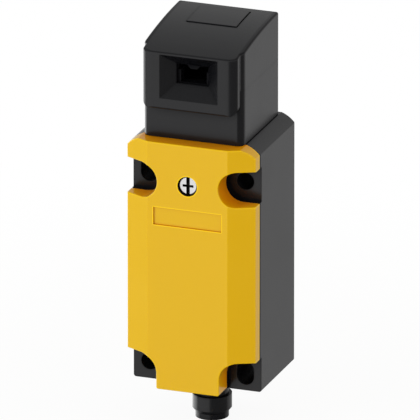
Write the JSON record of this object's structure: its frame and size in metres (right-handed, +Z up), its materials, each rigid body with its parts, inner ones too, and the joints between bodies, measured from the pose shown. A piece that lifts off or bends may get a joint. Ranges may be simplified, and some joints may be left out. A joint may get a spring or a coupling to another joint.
{
  "type": "safety position switch",
  "caption": "Position switch worked by a separate coded key: moulded housing with a faceted screw-on cover, a square turnable head with a funnelled key slot, and a round device plug below.",
  "frame": {"origin": "centre of the fixing-hole pattern on the flat back face", "axes": "+Z up the housing towards the head, +Y out of the back face into the wall it is fixed to, the cover looks along -Y"},
  "size_m": [0.04, 0.0375, 0.1234],
  "materials": {
    "black_moulding": "fine satin moulding",
    "yellow_moulding": "fine satin moulding",
    "grey_moulding": "satin moulding",
    "white_moulding": "satin moulding",
    "seal_rubber": "matt",
    "lead_insulation": "satin",
    "bright_steel": "zinc plated",
    "black_steel": "blackened",
    "spring_steel": "drawn wire and strip",
    "contact_brass": "bright"
  },
  "bodies": {
    "housing": {"enclosure": "black_moulding", "head_retaining_clip": "spring_steel", "head_seal": "seal_rubber", "plunger_seal": "seal_rubber", "contact_block_base": "grey_moulding", "contact_block_cover": "grey_moulding", "fixed_contacts": "contact_brass", "terminal_clamps": "bright_steel", "terminal_screws": "bright_steel", "return_spring": "spring_steel", "lead_wires": "lead_insulation", "plug_body": "black_moulding", "plug_insert": "black_moulding", "plug_pins": "contact_brass", "plug_seal": "seal_rubber"},
    "cover": {"front_cover": "yellow_moulding", "cover_seal": "seal_rubber", "cover_screw": "bright_steel", "screw_retainer": "grey_moulding"},
    "head": {"head_base": "black_moulding", "head_hood": "black_moulding", "top_entry_cap": "black_moulding", "cam_axle": "black_steel"},
    "cam": {"key_cam": "black_steel"},
    "plunger_set": {"plunger": "white_moulding", "contact_carrier": "white_moulding", "contact_bridges": "contact_brass", "bridge_springs": "spring_steel"}
  },
  "joints": [
    {"name": "head_turn", "type": "hinge", "parent": "housing", "child": "head", "pos_m": [0, -0.0172, 0.042], "axis": [0, 0, 1], "continuous": true},
    {"name": "key_cam_turn", "type": "hinge", "parent": "head", "child": "cam", "pos_m": [0, -0.0172, 0.054], "axis": [-1, 0, 0], "range_deg": [0, 60]},
    {"name": "plunger_travel", "type": "slide", "parent": "housing", "child": "plunger_set", "axis": [0, 0, 1], "range_m": [0, 0.0035], "deforming": ["return_spring"]},
    {"name": "cover_lift", "type": "slide", "parent": "housing", "child": "cover", "axis": [0, -1, 0], "range_m": [0, 0.03]}
  ],
  "couplings": [
    {"joint": "key_cam_turn", "follows": "plunger_travel", "rad_per_m": 299.2}
  ]
}
